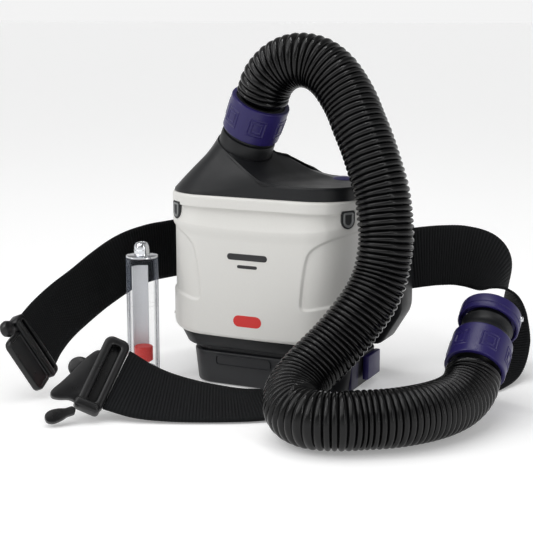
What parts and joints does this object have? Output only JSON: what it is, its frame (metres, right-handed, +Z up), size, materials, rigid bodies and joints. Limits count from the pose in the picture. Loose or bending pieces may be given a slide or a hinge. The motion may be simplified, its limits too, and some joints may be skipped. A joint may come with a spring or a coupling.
{
  "type": "powered air respirator",
  "caption": "Belt-worn blower unit with removable filter cover and battery, corrugated breathing hose, waist belt with buckles and a separate airflow indicator tube.",
  "frame": {"origin": "on the battery's flat base, under the middle of the unit", "axes": "+Z up, -Y towards the removable front cover, +Y towards the wearer's back, +X towards the power button's side"},
  "size_m": [0.3686, 0.3273, 0.2764],
  "materials": {
    "cover_plastic": "satin moulded light grey",
    "charcoal_plastic": "fine textured charcoal",
    "purple_plastic": "satin indigo",
    "battery_plastic": "fine textured dark grey",
    "hose_rubber": "semi-gloss corrugated",
    "webbing": "ribbed woven polyester",
    "seal_rubber": "matt",
    "clip_grey": "smoky grey",
    "filter_paper": "pleated media",
    "steel": "brushed",
    "circuit_board": "lacquered",
    "clear_plastic": "polished clear",
    "chrome": "polished",
    "scale_white": "satin white",
    "red_plastic": "satin red",
    "foam": "closed-cell pad"
  },
  "bodies": {
    "battery_pack": {"battery_case": "battery_plastic", "battery_lid": "charcoal_plastic", "battery_cell_1": "steel", "battery_cell_2": "steel", "battery_cell_3": "steel", "battery_cell_4": "steel", "battery_board": "circuit_board", "battery_contacts": "steel"},
    "latch": {"battery_latch": "purple_plastic"},
    "blower_unit": {"rear_housing": "charcoal_plastic", "lower_skirt": "charcoal_plastic", "unit_contacts": "steel", "top_housing": "charcoal_plastic", "power_switch": "charcoal_plastic", "filter_frame": "charcoal_plastic", "filter_media": "filter_paper", "filter_seal": "seal_rubber", "fan_case": "charcoal_plastic", "fan_inlet_plate": "charcoal_plastic", "fan_motor": "steel", "control_board": "circuit_board", "alarm_buzzer": "charcoal_plastic", "outlet_neck": "charcoal_plastic", "hose_cuff_top": "hose_rubber", "breathing_hose": "hose_rubber", "end_spigot": "charcoal_plastic", "belt_left": "webbing", "belt_right": "webbing", "belt_carrier": "charcoal_plastic", "belt_keeper_left": "charcoal_plastic", "belt_keeper_right": "charcoal_plastic", "back_pad": "foam", "left_buckle": "charcoal_plastic", "right_buckle": "charcoal_plastic"},
    "cover": {"front_cover": "cover_plastic"},
    "clip_left": {"cover_clip_left": "clip_grey"},
    "clip_right": {"cover_clip_right": "clip_grey"},
    "button": {"power_button": "purple_plastic"},
    "fan_wheel": {"impeller": "clip_grey", "motor_shaft": "steel"},
    "outlet_bayonet": {"outlet_collar": "purple_plastic"},
    "end_bayonet": {"end_collar": "purple_plastic"},
    "coupling": {"coupling_ring": "purple_plastic", "coupling_pin": "steel"},
    "buckle_release": {"left_buckle_release": "charcoal_plastic"},
    "buckle_lever": {"right_buckle_lever": "charcoal_plastic"},
    "indicator": {"indicator_base": "clear_plastic", "indicator_tube": "clear_plastic", "indicator_scale": "scale_white", "indicator_cap": "chrome"},
    "float": {"indicator_float": "red_plastic"}
  },
  "joints": [
    {"name": "battery_release", "type": "slide", "parent": "battery_pack", "child": "blower_unit", "axis": [0, 0, 1], "range_m": [0, 0.03]},
    {"name": "latch_press", "type": "slide", "parent": "battery_pack", "child": "latch", "axis": [-1, 0, 0], "range_m": [0, 0.0012], "stiffness_N_per_m": 900},
    {"name": "cover_removal", "type": "slide", "parent": "blower_unit", "child": "cover", "axis": [0, -1, 0], "range_m": [0, 0.01]},
    {"name": "clip_left_press", "type": "slide", "parent": "cover", "child": "clip_left", "axis": [0.6225, 0.7826, 0], "range_m": [0, 0.0012], "stiffness_N_per_m": 500},
    {"name": "clip_right_press", "type": "slide", "parent": "cover", "child": "clip_right", "axis": [-0.8443, 0.5358, 0], "range_m": [0, 0.0012], "stiffness_N_per_m": 500},
    {"name": "button_press", "type": "slide", "parent": "blower_unit", "child": "button", "axis": [0, 0, -1], "range_m": [0, 0.0015], "stiffness_N_per_m": 600},
    {"name": "fan_spin", "type": "hinge", "parent": "blower_unit", "child": "fan_wheel", "pos_m": [0, 0.02, 0.097], "axis": [0, 1, 0], "continuous": true},
    {"name": "outlet_collar_turn", "type": "hinge", "parent": "blower_unit", "child": "outlet_bayonet", "pos_m": [-0.0205, -0.0173, 0.1879], "axis": [0.4202, -0.1901, 0.8873], "range_deg": [0, 60]},
    {"name": "end_collar_turn", "type": "hinge", "parent": "blower_unit", "child": "end_bayonet", "pos_m": [0.177, -0.048, 0.035], "axis": [-0.02, 0.8288, 0.5592], "range_deg": [0, 60]},
    {"name": "coupling_turn", "type": "hinge", "parent": "blower_unit", "child": "coupling", "pos_m": [0.177, -0.048, 0.035], "axis": [-0.02, 0.8288, 0.5592], "range_deg": [0, 90]},
    {"name": "buckle_release_press", "type": "slide", "parent": "blower_unit", "child": "buckle_release", "axis": [0.3278, 0.3762, -0.8666], "range_m": [0, 0.0004], "stiffness_N_per_m": 500},
    {"name": "buckle_lever_swing", "type": "hinge", "parent": "blower_unit", "child": "buckle_lever", "pos_m": [-0.0827, -0.17517, 0.00903], "axis": [-0.5137, 0.6059, -0.6074], "range_deg": [0, 30]},
    {"name": "indicator_lift", "type": "slide", "parent": "battery_pack", "child": "indicator", "axis": [0, 0, 1], "range_m": [0, 0.12]},
    {"name": "float_rise", "type": "slide", "parent": "indicator", "child": "float", "axis": [0, 0, 1], "range_m": [0, 0.05]}
  ]
}
